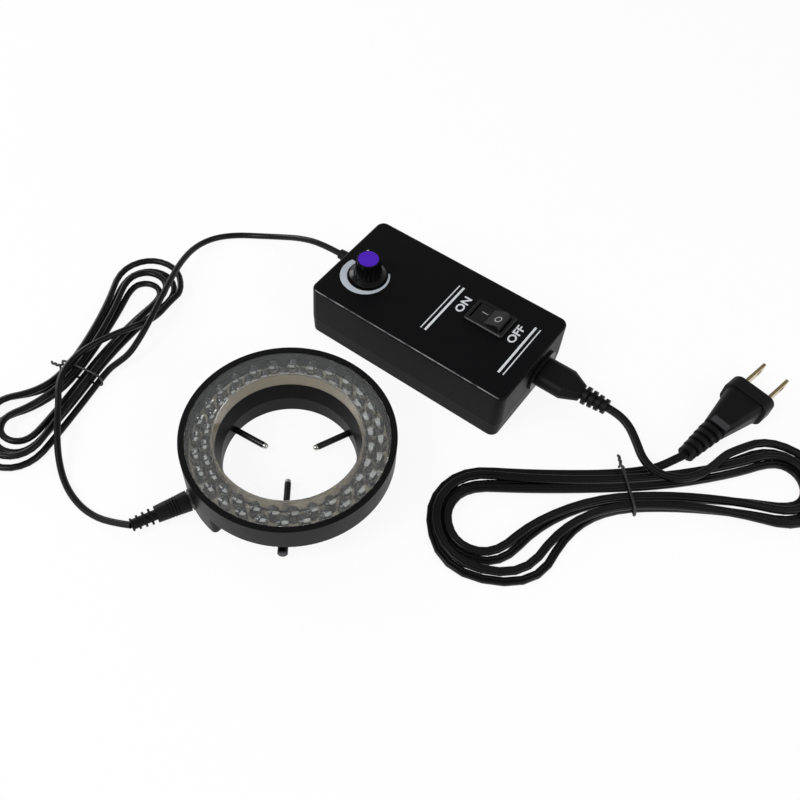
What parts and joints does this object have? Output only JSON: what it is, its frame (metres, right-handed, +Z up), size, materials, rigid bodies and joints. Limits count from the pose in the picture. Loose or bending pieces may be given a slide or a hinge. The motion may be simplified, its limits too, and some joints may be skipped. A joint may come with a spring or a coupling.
{
  "type": "microscope ring lamp",
  "caption": "Ring-shaped microscope lamp with radial thumb screws and a plug-in lead, and a small mains controller with a dimmer knob, a rocker switch and coiled cords.",
  "frame": {"origin": "centre of the ring light's bore at the bottom edge of its neck, on the surface that everything lies on", "axes": "+Z up along the bore's axis, away from the surface; +X and +Y lie in that surface"},
  "size_m": [0.3924, 0.2083, 0.0419],
  "materials": {
    "black_housing": "fine satin moulded black",
    "clear_cover": "polished clear",
    "lamp_clear": "polished clear",
    "board_tan": "bare laminate",
    "board_green": "solder mask",
    "bright_metal": "bright plated",
    "screw_steel": "turned steel",
    "tip_brass": "bright turned",
    "black_rubber": "soft satin",
    "cord_black": "smooth satin",
    "tie_black": "satin",
    "knob_black": "satin moulded",
    "cap_violet": "satin",
    "pointer_white": "satin",
    "switch_black": "satin",
    "component_black": "matte",
    "core_grey": "matte",
    "winding_amber": "taped",
    "can_blue": "sleeved",
    "sink_aluminium": "extruded",
    "fuse_glass": "clear",
    "wire_red": "satin",
    "blade_brass": "plated"
  },
  "bodies": {
    "controller": {"case_top": "black_housing", "case_bottom": "black_housing", "case_screws": "screw_steel", "pot_body": "sink_aluminium", "pot_nut": "bright_metal", "switch_housing": "switch_black", "switch_terminals": "blade_brass", "mains_inlet": "switch_black", "inlet_pins": "bright_metal", "circuit_board": "board_green", "circuit_board_screws": "screw_steel", "transformer_core": "core_grey", "transformer_winding": "winding_amber", "capacitors": "can_blue", "heat_sink": "sink_aluminium", "regulator": "component_black", "fuse": "fuse_glass", "fuse_clips": "bright_metal", "inner_wires": "wire_red", "dc_gland": "black_rubber", "dc_cord_to_hank": "cord_black", "dc_hank": "cord_black", "dc_hank_tie": "tie_black", "dc_cord_to_ring": "cord_black", "dc_plug_body": "black_rubber", "dc_plug_barrel": "bright_metal"},
    "knob": {"knob": "knob_black", "knob_cap": "cap_violet", "knob_pointer": "pointer_white", "pot_shaft": "sink_aluminium"},
    "rocker": {"rocker": "switch_black"},
    "ring_light": {"ring_housing": "black_housing", "ring_cover": "clear_cover", "led_board": "board_tan", "leds": "lamp_clear", "led_resistors": "component_black", "led_board_screws": "bright_metal", "jack_body": "component_black", "jack_bush": "bright_metal", "jack_nut": "bright_metal", "jack_pin": "bright_metal", "ring_wires": "wire_red"},
    "mains_lead": {"mains_connector": "black_rubber", "connector_contacts": "bright_metal", "mains_cord_to_hank": "cord_black", "mains_hank": "cord_black", "mains_hank_tie": "tie_black", "mains_cord_to_plug": "cord_black", "mains_plug": "black_rubber", "plug_blades": "blade_brass"},
    "screw_tip_1": {"screw_tip_1": "tip_brass"},
    "thumb_screw_1": {"thumb_screw_1": "screw_steel"},
    "screw_tip_2": {"screw_tip_2": "tip_brass"},
    "thumb_screw_2": {"thumb_screw_2": "screw_steel"},
    "screw_tip_3": {"screw_tip_3": "tip_brass"},
    "thumb_screw_3": {"thumb_screw_3": "screw_steel"}
  },
  "joints": [
    {"name": "knob_turn", "type": "hinge", "parent": "controller", "child": "knob", "pos_m": [0.03671, 0.08946, 0.035], "axis": [0, 0, 1], "range_deg": [-300, 0]},
    {"name": "rocker_tilt", "type": "hinge", "parent": "controller", "child": "rocker", "pos_m": [0.09397, 0.06163, 0.0282], "axis": [0.6159, 0.7878, 0], "range_deg": [0, 22]},
    {"name": "ring_unplug", "type": "slide", "parent": "controller", "child": "ring_light", "axis": [0.891, 0.454, 0], "range_m": [0, 0.0065]},
    {"name": "mains_unplug", "type": "slide", "parent": "controller", "child": "mains_lead", "axis": [0.7878, -0.6159, 0], "range_m": [0, 0.0095]},
    {"name": "screw_advance_1", "type": "slide", "parent": "ring_light", "child": "screw_tip_1", "axis": [0.8838, 0.4679, 0], "range_m": [-0.0015, 0.0186]},
    {"name": "screw_turn_1", "type": "hinge", "parent": "screw_tip_1", "child": "thumb_screw_1", "pos_m": [0.02651, 0.01404, 0.0043], "axis": [0.8838, 0.4679, 0], "range_deg": [-1082, 13394]},
    {"name": "screw_advance_2", "type": "slide", "parent": "ring_light", "child": "screw_tip_2", "axis": [-0.8471, 0.5314, 0], "range_m": [-0.0015, 0.0186]},
    {"name": "screw_turn_2", "type": "hinge", "parent": "screw_tip_2", "child": "thumb_screw_2", "pos_m": [-0.02541, 0.01594, 0.0043], "axis": [-0.8471, 0.5314, 0], "range_deg": [-1082, 13394]},
    {"name": "screw_advance_3", "type": "slide", "parent": "ring_light", "child": "screw_tip_3", "axis": [-0.0366, -0.9993, 0], "range_m": [-0.0015, 0.0203]},
    {"name": "screw_turn_3", "type": "hinge", "parent": "screw_tip_3", "child": "thumb_screw_3", "pos_m": [-0.0011, -0.02998, 0.0043], "axis": [-0.0366, -0.9993, 0], "range_deg": [-1082, 14618]}
  ],
  "couplings": [
    {"joint": "screw_turn_1", "follows": "screw_advance_1", "rad_per_m": 12566},
    {"joint": "screw_turn_2", "follows": "screw_advance_2", "rad_per_m": 12566},
    {"joint": "screw_turn_3", "follows": "screw_advance_3", "rad_per_m": 12566}
  ]
}
